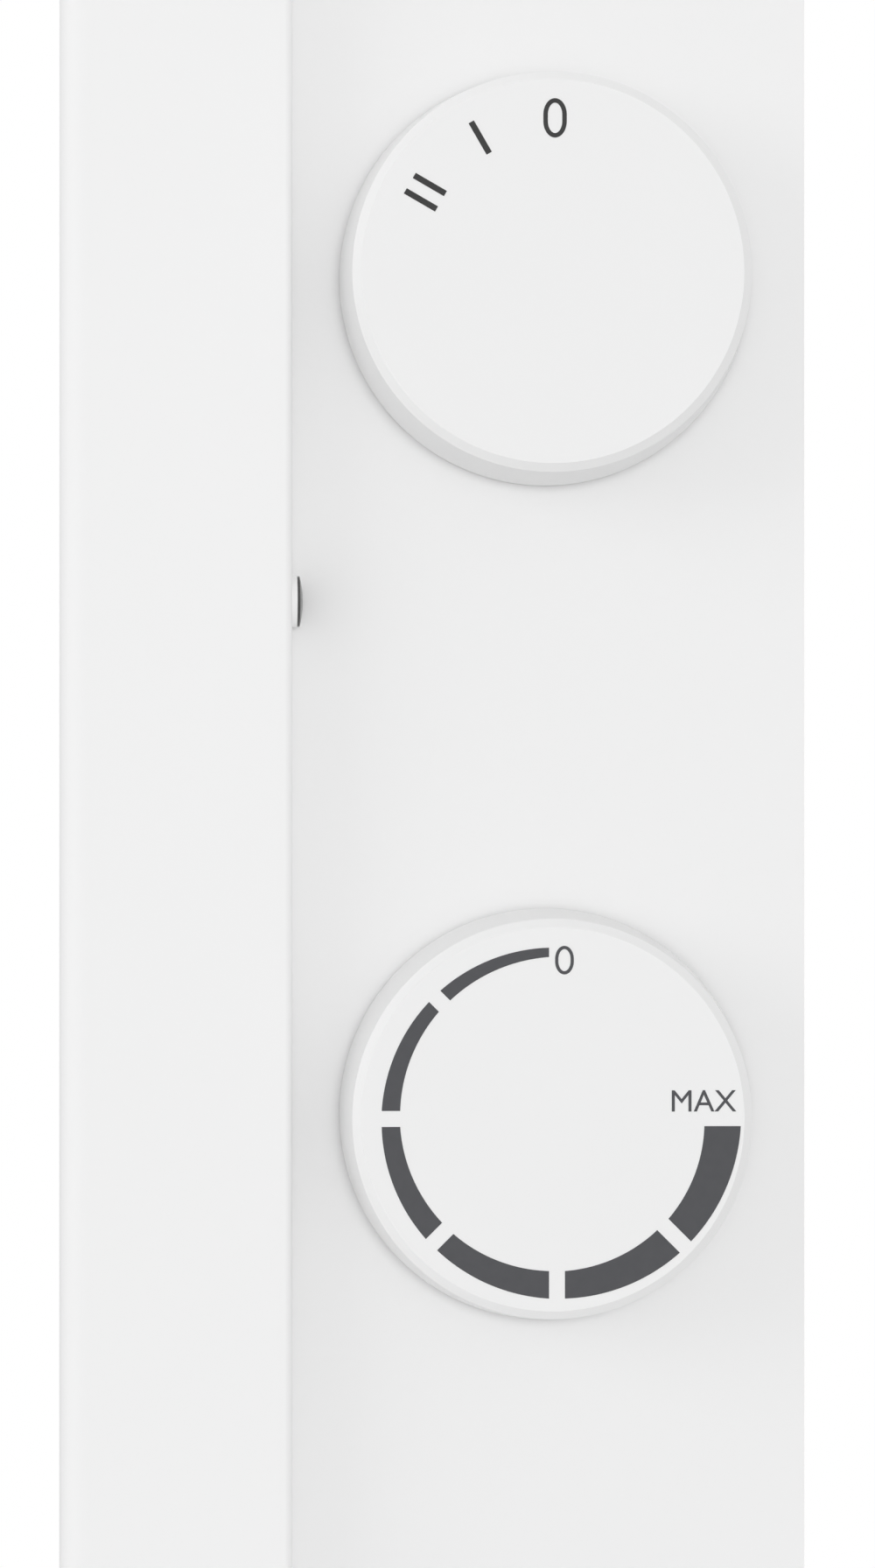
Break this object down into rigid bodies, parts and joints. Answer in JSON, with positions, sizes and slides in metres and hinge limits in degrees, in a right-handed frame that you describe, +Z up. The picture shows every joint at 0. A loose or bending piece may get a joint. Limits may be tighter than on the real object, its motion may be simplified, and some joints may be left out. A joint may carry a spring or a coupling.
{
  "type": "convector heater",
  "caption": "Floor-standing electric convector heater: folded steel casing, air grilles, finned element, feet, and mode and thermostat dials on its side.",
  "frame": {"origin": "floor point under the middle of the casing", "axes": "+Z up, -Y out of the front panel, +X towards the side that carries the dials"},
  "size_m": [0.627, 0.23, 0.45],
  "materials": {
    "white_enamel": "satin powder coat with a fine texture",
    "white_plastic": "fine matt moulded plastic",
    "dark_lens": "smoked clear plastic",
    "black_plastic": "matt moulded plastic",
    "pale_plastic": "heat resistant moulding",
    "ceramic": "unglazed steatite",
    "element_aluminium": "extruded, slightly oxidised",
    "zinc_steel": "zinc plated",
    "tab_brass": "tinned brass",
    "copper": "drawn copper",
    "black_rubber": "matt rubber",
    "wire_white": "silicone insulation",
    "wire_brown": "silicone insulation",
    "wire_blue": "silicone insulation",
    "wire_green": "silicone insulation"
  },
  "bodies": {
    "casing": {"base_screws": "zinc_steel", "bottom_panel": "white_enamel", "bulb_clip": "zinc_steel", "capillary_tube": "copper", "casing_screws": "zinc_steel", "control_screws": "zinc_steel", "cord_gland": "black_plastic", "cutout_tabs": "tab_brass", "divider_panel": "zinc_steel", "divider_screws": "zinc_steel", "element_bracket_left": "zinc_steel", "element_bracket_right": "zinc_steel", "element_bushes": "ceramic", "element_caps": "ceramic", "element_core": "zinc_steel", "element_fins": "element_aluminium", "element_pins": "zinc_steel", "flange_screws": "zinc_steel", "foot_left": "white_plastic", "foot_nuts": "zinc_steel", "foot_pads": "black_rubber", "foot_right": "white_plastic", "foot_screws": "zinc_steel", "front_panel": "white_enamel", "indicator_holder": "black_plastic", "indicator_lens": "dark_lens", "inlet_grille": "white_plastic", "outlet_grille": "white_plastic", "rear_panel": "white_enamel", "rear_screws": "zinc_steel", "sensor_bulb": "copper", "side_panel_left": "white_enamel", "side_panel_right": "white_enamel", "switch_body": "black_plastic", "switch_plate": "zinc_steel", "switch_tabs": "tab_brass", "terminal_block": "pale_plastic", "thermal_cutout": "black_plastic", "thermostat_body": "pale_plastic", "thermostat_plate": "zinc_steel", "thermostat_tabs": "tab_brass", "tip_switch": "black_plastic", "tip_switch_tabs": "tab_brass", "top_panel": "white_enamel", "wire_cutout": "wire_white", "wire_earth": "wire_green", "wire_grommets": "black_rubber", "wire_high": "wire_white", "wire_lamp": "wire_blue", "wire_low": "wire_white", "wire_neutral": "wire_blue", "wire_return": "wire_white", "wire_supply": "wire_brown", "wire_switched": "wire_white"},
    "mode_dial": {"mode_knob": "white_plastic", "mode_shaft": "zinc_steel"},
    "thermostat_dial": {"thermostat_knob": "white_plastic", "thermostat_shaft": "zinc_steel"}
  },
  "joints": [
    {"name": "mode_turn", "type": "hinge", "parent": "casing", "child": "mode_dial", "pos_m": [0.303, 0.0121, 0.372], "axis": [-1, 0, 0], "range_deg": [0, 60]},
    {"name": "thermostat_turn", "type": "hinge", "parent": "casing", "child": "thermostat_dial", "pos_m": [0.303, 0.0121, 0.2815], "axis": [-1, 0, 0], "range_deg": [0, 270]}
  ]
}
